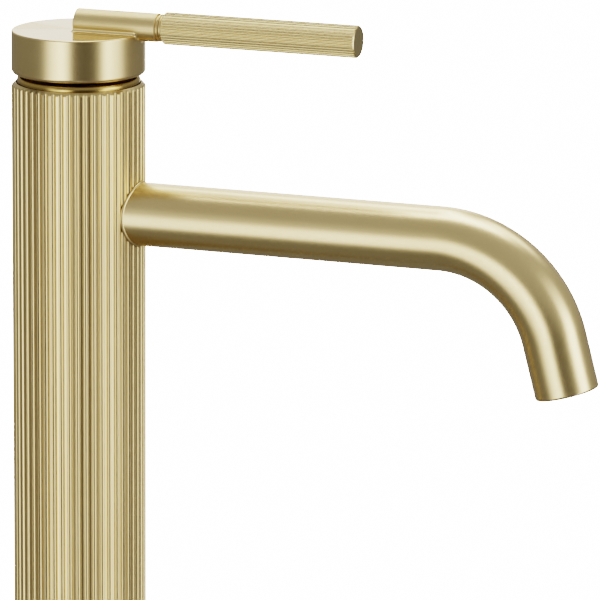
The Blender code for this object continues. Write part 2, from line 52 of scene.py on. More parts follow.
# ---- Valve block, its plug and the spout's nipple ------------------------------------------------
# The block is a turned brass slug that slides up the column and holds the cartridge. The plug in
# the column's foot, the gland nut and the nipple are turned from the same bar and left bare.


def linear(code):
    """An sRGB hex colour as a linear one, with full alpha."""
    parts = [int(code[i : i + 2], 16) / 255 for i in (1, 3, 5)]
    return [p / 12.92 if p <= 0.04045 else ((p + 0.055) / 1.055) ** 2.4 for p in parts] + [1.0]


def add(tree, kind, settings=None, links=None):
    """A node with its settings, which are its fields or its inputs, and the sockets it reads."""
    node = tree.nodes.new(kind)
    for name, value in (settings or {}).items():
        if isinstance(name, str) and hasattr(node, name):
            setattr(node, name, value)
        else:
            node.inputs[name].default_value = value
    for name, source in (links or {}).items():
        tree.links.new(source, node.inputs[name])
    return node


def finish(name, metallic, colours, patch, grain, roughness, tooth):
    """A finish of two close colours in soft patches, with a grain in its gloss and its relief.

    Patch and grain are the sizes of one patch and of one scratch or pit along X, Y and Z, and tooth
    is the relief's height, all in millimetres. Roughness runs from its least to its most. Both lie on
    one side of 0.27, because a finish that is glossier in one spot and duller in the next speckles.
    """
    look = bpy.data.materials.new(name)
    look.use_nodes = True
    tree = look.node_tree
    shader = tree.nodes["Principled BSDF"]
    shader.inputs["Metallic"].default_value = metallic
    place = add(tree, "ShaderNodeTexCoord").outputs["Object"]
    patches = add(tree, "ShaderNodeTexNoise", {"Scale": 1 / (patch * MM)}, {"Vector": place})
    pale, deep = (linear(code) for code in colours)
    mixed = {"data_type": "RGBA", 6: pale, 7: deep}
    colour = add(tree, "ShaderNodeMix", mixed, {0: patches.outputs[0]})
    per_grain = [1 / (size * MM) for size in grain]
    scaled = {"operation": "MULTIPLY", 1: per_grain}
    stretched = add(tree, "ShaderNodeVectorMath", scaled, {0: place}).outputs[0]
    unit_grain = {"Scale": 1.0, "Detail": 1.0}
    scratches = add(tree, "ShaderNodeTexNoise", unit_grain, {"Vector": stretched}).outputs[0]
    least, most = roughness
    spread = {"From Min": 0.3, "From Max": 0.7, "To Min": least, "To Max": most}
    gloss = add(tree, "ShaderNodeMapRange", spread, {"Value": scratches})
    height = {"Strength": 1.0, "Distance": tooth * MM}
    relief = add(tree, "ShaderNodeBump", height, {"Height": scratches})
    tree.links.new(colour.outputs[2], shader.inputs["Base Color"])
    tree.links.new(gloss.outputs[0], shader.inputs["Roughness"])
    tree.links.new(relief.outputs[0], shader.inputs["Normal"])
    return look


# Free-cutting brass as it leaves the lathe: a warm yellow with fine rings of tool marks across it,
# 0.25 mm apart, and duller patches where it has begun to tarnish.
bare_brass = finish(
    "turned_bare_brass", 1.0, ("#D9B469", "#BE934A"), 9.0, (30, 30, 0.25), (0.28, 0.42), 0.004
)
for name in ("valve_block", "base_insert", "cartridge_nut", "spout_spigot"):
    nodes[name].material_slots[0].material = bare_brass

# ---- Cartridge -----------------------------------------------------------------------------------
# A 35 mm ceramic-disc cartridge, bought in: white acetal mouldings that snap together round two
# lapped alumina discs, with a steel stem on a steel pin. Rubber rings seal it on the block.

# Acetal as moulded: a waxy off-white with a faint fine grain from the mould, 0.3 mm.
acetal = finish("moulded_acetal", 0.0, ("#E6E4DB", "#D8D6CB"), 7.0, (0.3, 0.3, 0.3), (0.38, 0.5), 0.003)
for name in ("cartridge_base", "cartridge_housing", "cartridge_turret", "disc_carrier"):
    nodes[name].material_slots[0].material = acetal

# Alumina, lapped until water can't pass: ivory, nearly a mirror, with cloudy patches in its gloss.
ceramic = finish("lapped_alumina", 0.0, ("#F1ECDD", "#E6E0CE"), 3.0, (1.2, 1.2, 1.2), (0.1, 0.2), 0.0005)
for name in ("fixed_disc", "moving_disc"):
    nodes[name].material_slots[0].material = ceramic

# Nitrile rubber as pressed: near black and dull, with a 0.2 mm bloom that greys it in spots.
rubber = finish("pressed_nitrile", 0.0, ("#1B1B1C", "#2A2A29"), 2.5, (0.2, 0.2, 0.2), (0.65, 0.85), 0.006)
SEALS = ("port_seal_hot", "port_seal_cold", "port_seal_mixed", "spout_seal", "aerator_seal")
for name in SEALS + ("base_gasket", "clamp_pad"):
    nodes[name].material_slots[0].material = rubber

# Stainless steel as drawn: cool grey with faint lines along the bar, 0.2 mm apart, which run up
# the stem, the plate's face and the studs.
steel = finish("drawn_stainless", 1.0, ("#C9C7C1", "#B6B4AE"), 8.0, (0.2, 0.2, 20), (0.28, 0.38), 0.003)
for name in ("cartridge_stem", "pivot_pin", "handle_grub_screw", "grip_stud", "clamp_plate"):
    nodes[name].material_slots[0].material = steel

# ---- Column --------------------------------------------------------------------------------------
# A drawn brass tube with 52 round grooves along it and plain lands between them. The lathe cuts a
# bevel across its shoulder, and the spout's hole is bored through one side with its edge broken.


def loft(loops):
    """A closed skin over loops of points. A loop of one point closes an end; otherwise the last
    loop joins the first."""
    bm = bmesh.new()
    rows = [[bm.verts.new(point) for point in loop] for loop in loops]
    pairs = list(zip(rows, rows[1:]))
    if len(rows[0]) > 1:
        pairs.append((rows[-1], rows[0]))
    for near, far in pairs:
        count = max(len(near), len(far))
        for i in range(count):
            j = (i + 1) % count
            if len(near) == 1:
                bm.faces.new((near[0], far[j], far[i]))
            elif len(far) == 1:
                bm.faces.new((near[i], near[j], far[0]))
            else:
                bm.faces.new((near[i], near[j], far[j], far[i]))
    bmesh.ops.recalc_face_normals(bm, faces=bm.faces)
    return bm


def form(name, bm, look, place=Matrix.Identity(4)):
    """A piece from a closed bmesh, set in its place, smooth between its sharp corners."""
    sharp = math.radians(30)
    bmesh.ops.transform(bm, matrix=place, verts=bm.verts)
    bmesh.ops.recalc_face_normals(bm, faces=bm.faces)
    mesh = bpy.data.meshes.new(name)
    bm.to_mesh(mesh)
    bm.free()
    mesh.shade_smooth()
    mesh.set_sharp_from_angle(angle=sharp)
    mesh.materials.append(look)
    made = bpy.data.objects.new(name, mesh)
    bpy.context.scene.collection.objects.link(made)
    weighted = made.modifiers.new("even_shading", "WEIGHTED_NORMAL")
    weighted.keep_sharp = True
    return made


def combined(first, operation, second):
    """The union, difference or intersection of two closed bmeshes."""
    pair = []
    for bm in (first, second):
        mesh = bpy.data.meshes.new("half")
        bm.to_mesh(mesh)
        bm.free()
        half = bpy.data.objects.new("half", mesh)
        bpy.context.scene.collection.objects.link(half)
        pair.append(half)
    boolean = pair[0].modifiers.new("boolean", "BOOLEAN")
    boolean.operation = operation
    boolean.object = pair[1]
    result = bmesh.new()
    result.from_object(pair[0], bpy.context.evaluated_depsgraph_get())
    for half in pair:
        bpy.data.objects.remove(half)
    return result


def grooved(radius, count, depth, groove_r, edge_r, steps):
    """(angle, radius) points round a bar with that many grooves along it, the first at +X.

    A groove's section is an arc of groove_r, and an arc of edge_r eases it into the land.
    """
    both = groove_r + edge_r
    edge_at = math.sqrt(both**2 - (both - depth) ** 2)
    slope = math.asin(edge_at / both)
    half = []
    for i in range(1, steps + 1):
        a = slope * i / steps
        half.append((groove_r * math.sin(a), depth - groove_r * (1 - math.cos(a))))
    edge_steps = 3
    for i in range(1, edge_steps + 1):
        a = slope * (1 - i / edge_steps)
        half.append((edge_at - edge_r * math.sin(a), edge_r * (1 - math.cos(a))))
    across = [(-u, cut) for u, cut in reversed(half)] + [(0, depth)] + half
    pitch = math.tau / count
    return [(i * pitch + u / radius, radius - cut) for i in range(count) for u, cut in across]


def around(section, spot):
    """A loop at a section's angles, where spot turns the section's radius to (radius, height)."""
    loop = []
    for angle, r in section:
        radius, height = spot(r)
        loop.append((radius * math.cos(angle), radius * math.sin(angle), height))
    return loop


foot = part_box("body_shell")[0].z
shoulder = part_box("body_shell")[1].z
COLUMN_R = 23.5 * MM
COLUMN_BORE_R = 20.75 * MM
BEVEL_RUN, BEVEL_DROP = 1.35 * MM, 1.3 * MM
RING_SEAT_R, RING_SEAT_DEPTH = 22.0 * MM, 4.8 * MM
BROKEN_EDGE = 0.12 * MM
FOOT_BEVEL = 0.25 * MM
bevel_top_r = COLUMN_R - BEVEL_RUN
seat_z = shoulder - RING_SEAT_DEPTH
FLUTES, FLUTE_DEPTH, FLUTE_R, FLUTE_EDGE_R = 52, 0.55 * MM, 1.05 * MM, 0.2 * MM
flutes = grooved(COLUMN_R, FLUTES, FLUTE_DEPTH, FLUTE_R, FLUTE_EDGE_R, steps=5)


def bevel_z(r):
    """The height at which the shoulder's bevel meets that radius."""
    return shoulder - (r - bevel_top_r) * BEVEL_DROP / BEVEL_RUN


shell = loft(
    [
        around(flutes, lambda r: (r - FOOT_BEVEL, foot)),
        around(flutes, lambda r: (r, foot + FOOT_BEVEL)),
        around(flutes, lambda r: (r, bevel_z(r) - BROKEN_EDGE)),
        around(flutes, lambda r: (r - BROKEN_EDGE, bevel_z(r - BROKEN_EDGE))),
        around(flutes, lambda r: (bevel_top_r, shoulder)),
        around(flutes, lambda r: (RING_SEAT_R, shoulder)),
        around(flutes, lambda r: (RING_SEAT_R, seat_z)),
        around(flutes, lambda r: (COLUMN_BORE_R, seat_z)),
        around(flutes, lambda r: (COLUMN_BORE_R, foot)),
    ]
)

SPOUT_R = 11.2 * MM
spout_z = shoulder - 45.6 * MM
HOLE_R = SPOUT_R + 0.3 * MM
HOLE_EDGE = 0.35 * MM
HOLE_SIDES = 96


def round_hole(radius, past_side):
    """A loop round the spout's hole, that far outside the column's side."""
    loop = []
    for i in range(HOLE_SIDES):
        y = radius * math.cos(math.tau * i / HOLE_SIDES)
        z = radius * math.sin(math.tau * i / HOLE_SIDES)
        loop.append((math.sqrt(COLUMN_R**2 - y**2) + past_side, y, spout_z + z))
    return loop


# The drill runs from inside the bore to outside the column, and widens as it leaves.
inside, outside = 15 * MM, 30 * MM
flare = 3 * HOLE_EDGE
drill = loft(
    [
        [(inside, 0, spout_z)],
        [(inside, y, z) for x, y, z in round_hole(HOLE_R, 0)],
        round_hole(HOLE_R, -HOLE_EDGE),
        round_hole(HOLE_R + flare, flare - HOLE_EDGE),
        [(outside, y, z) for x, y, z in round_hole(HOLE_R + flare, 0)],
        [(outside, 0, spout_z)],
    ]
)
shell = combined(shell, "DIFFERENCE", drill)

# Brass under a pale gold coat laid on in vacuum, brushed along the tube: fine bright and dull
# streaks up and down it. They are drawn 0.6 mm apart, coarser than the real ones, to show.
# SHADED_GOLD is the gold a little darker, for the column alone: painted shade for its grooves.
GOLD = ("#F1DDAE", "#E9D3A2")
SHADED_GOLD = ("#EAD6A7", "#E1CC9B")
gold_lengthwise = finish(
    "gold_brushed_lengthwise", 1.0, SHADED_GOLD, 22.0, (0.6, 0.6, 900), (0.28, 0.34), 0.0006
)
column = form("column_shell", shell, gold_lengthwise)
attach(column, "column")
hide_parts("body_shell")

# ---- Foot ring and worktop fixing ----------------------------------------------------------------
# A turned ring covers the cut edge of the tap hole. Two M6 studs hang from the brass plug, and hex
# nuts on them pull a rubber and steel horseshoe up under the worktop.


def arc(centre, radius, start_deg, end_deg, steps):
    """Points of a rounded corner in a profile."""
    points = []
    for i in range(steps + 1):
        a = math.radians(start_deg + (end_deg - start_deg) * i / steps)
        points.append((centre[0] + radius * math.cos(a), centre[1] + radius * math.sin(a)))
    return points


def turned(profile, sides):
    """The skin of a profile of (radius, height) points turned about Z."""
    loops = []
    for radius, height in profile:
        if radius == 0:
            loops.append([(0, 0, height)])
        else:
            turns = [math.tau * i / sides for i in range(sides)]
            loops.append([(radius * math.cos(a), radius * math.sin(a), height) for a in turns])
    return loft(loops)


FOOT_RING_R, FOOT_RING_BORE_R = 24.5 * MM, 16.0 * MM
FOOT_EDGE_R, FOOT_UNDER_R = 1.0 * MM, 0.2 * MM
GASKET_GROOVE_R, GASKET_GROOVE_H = (21.0 * MM, 23.2 * MM), 2.0 * MM
ring_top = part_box("base_ring")[1].z
foot_ring = turned(
    [
        (FOOT_RING_BORE_R, 0),
        (GASKET_GROOVE_R[0], 0),
        (GASKET_GROOVE_R[0], GASKET_GROOVE_H),
        (GASKET_GROOVE_R[1], GASKET_GROOVE_H),
        (GASKET_GROOVE_R[1], 0),
        *arc((FOOT_RING_R - FOOT_UNDER_R, FOOT_UNDER_R), FOOT_UNDER_R, -90, 0, steps=3),
        *arc((FOOT_RING_R - FOOT_EDGE_R, ring_top - FOOT_EDGE_R), FOOT_EDGE_R, 0, 90, steps=7),
        (FOOT_RING_BORE_R, ring_top),
    ],
    sides=144,
)

# The same gold on turned pieces, brushed round them: faint level lines 0.3 mm apart.
gold_round = finish("gold_brushed_round", 1.0, GOLD, 18.0, (90, 90, 0.3), (0.28, 0.31), 0.0008)
foot_ring = form("foot_ring", foot_ring, gold_round)
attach(foot_ring, "column")
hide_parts("base_ring")

STUD_R, THREAD_PITCH, THREAD_DEPTH = 3.0 * MM, 1.0 * MM, 0.54 * MM
STUD_SIDES, ROWS_PER_THREAD = 24, 6
STUD_POINT = 0.8 * MM
FLANK_RISE, CREST_FLAT = 2.6, 0.25
NUT_FLATS, NUT_BORE_R = 10.0 * MM, 3.3 * MM
NUT_FACE_SHARE = 0.95
NUT_CHAMFER = math.radians(30)
NUT_SIDES = 72


def threaded_stud(start, end):
    """A stud with an M6 thread from end to end, pointed a little at both."""
    rows = round((end - start) / THREAD_PITCH * ROWS_PER_THREAD)
    loops = [[(0, 0, start)]]
    for row in range(rows + 1):
        z = start + (end - start) * row / rows
        from_end = min(z - start, end - z)
        widest = STUD_R - max(STUD_POINT - from_end, 0)
        loop = []
        for i in range(STUD_SIDES):
            turn = i / STUD_SIDES
            phase = (z / THREAD_PITCH - turn) % 1
            flank = min(max(abs(phase - 0.5) * FLANK_RISE - CREST_FLAT, 0), 1)
            radius = min(STUD_R - THREAD_DEPTH * flank, widest)
            loop.append((radius * math.cos(math.tau * turn), radius * math.sin(math.tau * turn), z))
        loops.append(loop)
    loops.append([(0, 0, end)])
    return loft(loops)


def hex_nut(start, end):
    """A plain hexagon nut with both faces chamfered at 30 degrees."""
    flat_r = NUT_FLATS / 2
    face_r = NUT_FACE_SHARE * flat_r
    corners = []
    for i in range(NUT_SIDES):
        angle = math.tau * i / NUT_SIDES
        off_flat = (angle + math.pi / 6) % (math.pi / 3) - math.pi / 6
        corners.append((angle, flat_r / math.cos(off_flat)))
    fall = math.tan(NUT_CHAMFER)
    return loft(
        [
            around(corners, lambda r: (NUT_BORE_R, start)),
            around(corners, lambda r: (face_r, start)),
            around(corners, lambda r: (r, start + (r - face_r) * fall)),
            around(corners, lambda r: (r, end - (r - face_r) * fall)),
            around(corners, lambda r: (face_r, end)),
            around(corners, lambda r: (NUT_BORE_R, end)),
        ]
    )


for word in ("left", "right"):
    low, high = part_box(f"mounting_stud_{word}")
    beside = Matrix.Translation((0, (low.y + high.y) / 2, 0))
    stud = form(f"threaded_stud_{word}", threaded_stud(low.z, high.z), steel, beside)
    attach(stud, "column")
    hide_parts(f"mounting_stud_{word}")
    low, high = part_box(f"stud_nut_{word}")
    nut = form(f"hex_nut_{word}", hex_nut(low.z, high.z), steel, beside)
    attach(nut, "column")
    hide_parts(f"stud_nut_{word}")

# ---- Spout ---------------------------------------------------------------------------------------
# A 22.4 mm brass tube, bent on a mandrel so that it stays round, with its mouth's rim rounded over.
# Its inner end is cut to the block's curve and screws on to the nipple through the column's hole,
# and a small rolled bead round it closes the hole's edge.

SPOUT_BORE_R = 9.6 * MM
SPOUT_RUN_X = 134.0 * MM
SPOUT_BEND_R = 43.0 * MM
SPOUT_TURN = math.radians(75.2)
SPOUT_END = 19.3 * MM
RIM_R, RIM_BEVEL = 0.9 * MM, 0.2 * MM
SADDLE_R = 20.7 * MM
BEAD_R, BEAD_FOOT_DEG = 0.45 * MM, -70
SPOUT_SIDES, BEND_STEPS = 96, 48
bend_end = SPOUT_RUN_X + SPOUT_BEND_R * SPOUT_TURN
mouth_at = bend_end + SPOUT_END
spout_out = Vector((math.cos(SPOUT_TURN), 0, -math.sin(SPOUT_TURN)))


def spout_loop(distance, radius):
    """A loop round the spout's line, by the distance along it from the column's axis."""
    turn = min(max(distance - SPOUT_RUN_X, 0) / SPOUT_BEND_R, SPOUT_TURN)
    centre = Vector((min(distance, SPOUT_RUN_X), 0, spout_z))
    centre += SPOUT_BEND_R * Vector((math.sin(turn), 0, math.cos(turn) - 1))
    centre += max(distance - bend_end, 0) * spout_out
    outward = Vector((math.sin(turn), 0, math.cos(turn)))
    loop = []
    for i in range(SPOUT_SIDES):
        a = math.tau * i / SPOUT_SIDES
        loop.append(centre + radius * (math.cos(a) * outward + math.sin(a) * Vector((0, 1, 0))))
    return loop


def saddle_loop(radius, post_r, past_side=0.0):
    """A loop round the spout on a round post, or that far outside the post's side."""
    loop = spout_loop(0, radius)
    return [Vector((math.sqrt(post_r**2 - p.y**2) + past_side, p.y, p.z)) for p in loop]


bend = [SPOUT_RUN_X + (bend_end - SPOUT_RUN_X) * i / BEND_STEPS for i in range(BEND_STEPS + 1)]
run = [30 * MM, 82 * MM]  # two loops part the level run, so its faces aren't too long
rim = arc((SPOUT_R - RIM_R, mouth_at - RIM_R), RIM_R, 0, 90, steps=6)
bead = arc((SPOUT_R, 0), BEAD_R, BEAD_FOOT_DEG, 90, steps=10)
loops = [saddle_loop(SPOUT_R, SADDLE_R), saddle_loop(SPOUT_R, COLUMN_R, -2 * BEAD_R)]
loops += [saddle_loop(radius, COLUMN_R, past_side) for radius, past_side in bead]
loops += [spout_loop(distance, SPOUT_R) for distance in run + bend]
loops += [spout_loop(distance, radius) for radius, distance in rim]
loops += [spout_loop(mouth_at, SPOUT_BORE_R + RIM_BEVEL)]
loops += [spout_loop(mouth_at - RIM_BEVEL, SPOUT_BORE_R)]
loops += [spout_loop(distance, SPOUT_BORE_R) for distance in reversed(run + bend)]
loops += [saddle_loop(SPOUT_BORE_R, SADDLE_R)]

# The same gold, blasted with fine grit before the coat instead of brushed, because a bent tube
# can't be brushed evenly: an even satin. Its grain is drawn 1 mm across, coarser than the real one.
gold_satin = finish("gold_satin_blasted", 1.0, GOLD, 25.0, (1.0, 1.0, 1.0), (0.28, 0.32), 0.0006)
spout = form("spout_bent_tube", loft(loops), gold_satin)
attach(spout, "column")
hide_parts("spout_tube")

# ---- Aerator -------------------------------------------------------------------------------------
# A ring screwed up into the mouth holds a moulded honeycomb that straightens the stream. The ring
# has a rounded lip with slots for a coin key, and the honeycomb's cells are 1.2 mm across.

HOUSING_R, HOUSING_BORE_R, HOUSING_LIP_R = 9.3 * MM, 8.1 * MM, 7.3 * MM
HOUSING_BACK, HOUSING_LIP, HOUSING_FRONT = -10.0 * MM, -2.5 * MM, -1.5 * MM
mouth = sum(spout_loop(mouth_at, SPOUT_R), Vector()) / SPOUT_SIDES
in_mouth = Matrix.Translation(mouth) @ Matrix.Rotation(math.pi / 2 + SPOUT_TURN, 4, "Y")
lip_edge = 0.3 * MM
KEY_SLOT = (2.2 * HOUSING_R, 1.6 * MM, 1.0 * MM)
KEY_SLOT_RISE = 0.1 * MM
housing = turned(
    [
        (HOUSING_BORE_R, HOUSING_BACK),
        (HOUSING_R, HOUSING_BACK),
        *arc((HOUSING_R - lip_edge, HOUSING_FRONT - lip_edge), lip_edge, 0, 90, steps=4),
        *arc((HOUSING_LIP_R + lip_edge, HOUSING_FRONT - lip_edge), lip_edge, 90, 180, steps=4),
        (HOUSING_LIP_R, HOUSING_LIP),
        (HOUSING_BORE_R, HOUSING_LIP),
    ],
    sides=96,
)
key_slot = bmesh.new()
bmesh.ops.create_cube(key_slot, size=1.0)
slot_place = Matrix.Translation((0, 0, HOUSING_FRONT + KEY_SLOT_RISE))
slot_size = Matrix.Diagonal((*KEY_SLOT, 1.0))
bmesh.ops.transform(key_slot, matrix=slot_place @ slot_size, verts=key_slot.verts)
housing = combined(housing, "DIFFERENCE", key_slot)
housing = form("aerator_ring", housing, gold_round, in_mouth)
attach(housing, "column")
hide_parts("aerator_housing")

CELL_PITCH, CELL_WALL = 1.5 * MM, 0.3 * MM
CELL_UNDER_RIM = 0.3
CELL_WELD = 0.02 * MM
INSERT_R, INSERT_RIM = 7.8 * MM, 0.9 * MM
INSERT_GAP = 0.3 * MM
INSERT_Z = (HOUSING_BACK + MM, HOUSING_LIP - INSERT_GAP)


def honeycomb():
    """Hexagon cells in rows, walled off from each other, inside a round rim."""
    comb = bmesh.new()
    corner = CELL_PITCH / math.sqrt(3)
    opening = (CELL_PITCH - CELL_WALL) / math.sqrt(3)
    reach = int(INSERT_R / CELL_PITCH) + 2
    spots = []
    for j in range(-reach, reach):
        for i in range(-2 * reach, 2 * reach):
            spots.append((i + j / 2, j * math.sqrt(3) / 2))
    for i, j in spots:
        x, y = i * CELL_PITCH, j * CELL_PITCH
        if math.hypot(x, y) + corner > INSERT_R - CELL_UNDER_RIM * INSERT_RIM:
            continue
        rings = []
        turns = [math.pi / 6 + math.pi / 3 * k for k in range(6)]
        for r in (corner, opening):
            points = [(x + r * math.cos(a), y + r * math.sin(a), INSERT_Z[1]) for a in turns]
            rings.append([comb.verts.new(point) for point in points])
        for k in range(6):
            m = (k + 1) % 6
            comb.faces.new((rings[0][k], rings[0][m], rings[1][m], rings[1][k]))
    bmesh.ops.remove_doubles(comb, verts=comb.verts, dist=CELL_WELD)
    raised = bmesh.ops.extrude_face_region(comb, geom=comb.faces[:])["geom"]
    low = [v for v in raised if isinstance(v, bmesh.types.BMVert)]
    bmesh.ops.translate(comb, verts=low, vec=(0, 0, INSERT_Z[0] - INSERT_Z[1]))
    bmesh.ops.recalc_face_normals(comb, faces=comb.faces)
    bore = INSERT_R - INSERT_RIM
    back, front = INSERT_Z
    rim_profile = [(bore, back), (INSERT_R, back), (INSERT_R, front), (bore, front)]
    return combined(turned(rim_profile, sides=64), "UNION", comb)


insert = form("aerator_honeycomb", honeycomb(), acetal, in_mouth)
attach(insert, "column")
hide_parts("aerator_insert")

# ---- Cover ring ----------------------------------------------------------------------------------
# A smooth turned ring that drops into the column's shoulder and hides the gland nut. It isn't
# brushed: it is polished before the coat, and picks up the cap above it. Its gold is painted
# darker, as painted shade for its place under the cap.

COVER_R, COVER_BORE_R, COVER_HOLE_R = 21.7 * MM, 20.2 * MM, 15.5 * MM
COVER_EDGE = 2.2 * MM
cover_low, cover_top = (corner.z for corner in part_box("cover_ring"))
COVER_UNDER_RISE = 0.9 * MM
cover_under = shoulder + COVER_UNDER_RISE
cover = turned(
    [
        (COVER_BORE_R, cover_low),
        (COVER_R, cover_low),
        *arc((COVER_R - COVER_EDGE, cover_top - COVER_EDGE), COVER_EDGE, 0, 90, steps=12),
        (COVER_HOLE_R, cover_top),
        (COVER_HOLE_R, cover_under),
        (COVER_BORE_R, cover_under),
    ],
    sides=144,
)

# The coat on polished brass: glossier than the brushed pieces and painted a darker gold, as
# painted shade under the cap, with hairlines from the buffing wheel round it. They are drawn 0.5 mm
# apart, coarser than the real ones.
RING_GOLD_IN_PAINTED_SHADE = ("#C6AE78", "#BBA26A")
gold_polished = finish(
    "gold_polished", 1.0, RING_GOLD_IN_PAINTED_SHADE, 15.0, (50, 50, 0.5), (0.2, 0.26), 0.0004
)
cover = form("cover_ring_polished", cover, gold_polished)
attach(cover, "column")
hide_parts("cover_ring")

# ---- Cap and lever arm ---------------------------------------------------------------------------
# One brass casting: a hollow flat cap, with a hub that sits on the stem, and half a round arm laid
# along its top. A small fillet runs all round the arm's foot. It is turned, brushed and coated.

CAP_R, CAP_BORE_R, HUB_R = 23.5 * MM, 21.8 * MM, 7.2 * MM
CAP_EDGE, CAP_LIP = 0.5 * MM, 1.4 * MM
STEM_SOCKET = 8.5 * MM
cap_low, cap_top = shoulder + 3.2 * MM, shoulder + 18.3 * MM
cap_ceiling, hub_foot = shoulder + 11.5 * MM, shoulder + 1.0 * MM
cap = turned(
    [
        (0, cap_top),
        *arc((CAP_R - CAP_EDGE, cap_top - CAP_EDGE), CAP_EDGE, 90, 0, steps=6),
        *arc((CAP_R - CAP_LIP, cap_low + CAP_LIP), CAP_LIP, 0, -90, steps=9),
        (CAP_BORE_R, cap_low),
        (CAP_BORE_R, cap_ceiling),
        (HUB_R, cap_ceiling),
        (HUB_R, hub_foot),
        (0, hub_foot),
    ],
    sides=160,
)

grip_low, grip_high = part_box("lever_grip")
lever_z = (grip_low.z + grip_high.z) / 2
ARM_R, ARM_START, ARM_END = 5.03 * MM, -0.3 * MM, 30.2 * MM
ARM_START_EDGE, ARM_END_EDGE = 0.35 * MM, 0.3 * MM
NECK_R, COLLAR_R = 4.4 * MM, 4.85 * MM
COLLAR_X = (30.75 * MM, 31.5 * MM)
END_GAP = 0.3 * MM
neck_end = grip_low.x - END_GAP
z_to_x = Matrix.Rotation(math.pi / 2, 4, "Y")
along_x = Matrix.Translation((0, 0, lever_z)) @ z_to_x
collar_edge = (COLLAR_X[1] - COLLAR_X[0]) / 2
arm = turned(
    [
        (0, ARM_START),
        *arc((ARM_R - ARM_START_EDGE, ARM_START + ARM_START_EDGE), ARM_START_EDGE, -90, 0, steps=4),
        *arc((ARM_R - ARM_END_EDGE, ARM_END - ARM_END_EDGE), ARM_END_EDGE, 0, 90, steps=4),
        (NECK_R, ARM_END),
        (NECK_R, COLLAR_X[0]),
        *arc((COLLAR_R - collar_edge, sum(COLLAR_X) / 2), collar_edge, -90, 90, steps=8),
        (NECK_R, COLLAR_X[1]),
        (NECK_R, neck_end),
        (0, neck_end),
    ],
    sides=96,
)
bmesh.ops.transform(arm, matrix=along_x, verts=arm.verts)
cap = combined(cap, "UNION", arm)

FILLET_R = 1.1 * MM
FILLET_SINK = 0.01 * MM
FILLET_BURIED = 1.6
FILLET_STEPS = 7
END_STEPS, CORNER_STEPS, SIDE_STEPS, RIM_STEPS, UNDER_STEPS = 5, 6, 10, 10, 12


def fillet_section(centre, on_cap, on_arm):
    """One section of the fillet: the arc between its two contacts, closed inside the metal."""
    to_cap = (on_cap - centre).normalized()
    to_arm = (on_arm - centre).normalized()
    opening = to_cap.angle(to_arm)
    section = []
    for i in range(FILLET_STEPS + 1):
        share = i / FILLET_STEPS
        direction = to_cap * math.sin((1 - share) * opening) + to_arm * math.sin(share * opening)
        section.append(centre + direction / math.sin(opening) * (FILLET_R + FILLET_SINK))
    corner = FILLET_R / math.cos(opening / 2)
    section.append(centre + (to_cap + to_arm).normalized() * corner * FILLET_BURIED)
    return section


def fillet_beside_arm(centre_x, centre_y, centre_z, on_cap):
    """A section where the fillet's arc rests on the arm's round side."""
    centre = Vector((centre_x, centre_y, centre_z))
    outward = Vector((0, centre_y, centre_z - lever_z)).normalized()
    return fillet_section(centre, on_cap, centre - outward * FILLET_R)


def half_fillet():
    """Sections from the middle of the arm's flat end, along one side, to under its far end."""
    sections = []
    above_top = cap_top + FILLET_R
    drop = lever_z - above_top
    reach = ARM_R + FILLET_R
    edge_circle_r = ARM_R - ARM_START_EDGE
    edge_reach = ARM_START_EDGE + FILLET_R
    edge_x = ARM_START + ARM_START_EDGE
    flat_y = math.sqrt(edge_circle_r**2 - drop**2)
    for i in range(END_STEPS):
        centre = Vector((ARM_START - FILLET_R, flat_y * i / END_STEPS, above_top))
        on_cap = centre - Vector((0, 0, FILLET_R))
        sections.append(fillet_section(centre, on_cap, centre + Vector((FILLET_R, 0, 0))))
    for i in range(CORNER_STEPS + 1):
        a = math.pi / 2 * (1 - i / CORNER_STEPS)
        from_axis = edge_circle_r + edge_reach * math.cos(a)
        y = math.sqrt(from_axis**2 - drop**2)
        centre = Vector((edge_x - edge_reach * math.sin(a), y, above_top))
        axis_out = Vector((0, y, -drop)).normalized()
        on_circle = Vector((edge_x, 0, lever_z)) + axis_out * edge_circle_r
        on_arm = centre + (on_circle - centre) * FILLET_R / edge_reach
        sections.append(fillet_section(centre, centre - Vector((0, 0, FILLET_R)), on_arm))
    side_y = math.sqrt(reach**2 - drop**2)
    rim_circle_r, rim_circle_z = CAP_R - CAP_EDGE, cap_top - CAP_EDGE
    rim_reach = CAP_EDGE + FILLET_R
    rim_x = math.sqrt(rim_circle_r**2 - side_y**2)
    for i in range(1, SIDE_STEPS):
        x = edge_x + (rim_x - edge_x) * i / SIDE_STEPS
        sections.append(fillet_beside_arm(x, side_y, above_top, Vector((x, side_y, cap_top))))
    for i in range(RIM_STEPS + 1):
        a = math.pi / 2 * (1 - i / RIM_STEPS)
        from_axis = rim_circle_r + rim_reach * math.cos(a)
        z = rim_circle_z + rim_reach * math.sin(a)
        y = math.sqrt(reach**2 - (lever_z - z) ** 2)
        x = math.sqrt(from_axis**2 - y**2)
        on_circle = Vector((x, y, 0)) * (rim_circle_r / from_axis) + Vector((0, 0, rim_circle_z))
        centre = Vector((x, y, z))
        on_cap = centre + (on_circle - centre) * FILLET_R / rim_reach
        sections.append(fillet_beside_arm(x, y, z, on_cap))
    under = math.acos((lever_z - rim_circle_z) / reach)
    for i in range(1, UNDER_STEPS + 1):
        a = under * (1 - i / UNDER_STEPS)
        y = reach * math.sin(a)
        x = math.sqrt((CAP_R + FILLET_R) ** 2 - y**2)
        z = lever_z - reach * math.cos(a)
        on_cap = Vector((x, y, 0)) * (CAP_R / (CAP_R + FILLET_R)) + Vector((0, 0, z))
        sections.append(fillet_beside_arm(x, y, z, on_cap))
    return sections


one_side = half_fillet()
other_side = [[Vector((p.x, -p.y, p.z)) for p in section] for section in one_side[1:-1]]
cap = combined(cap, "UNION", loft(one_side + other_side[::-1]))

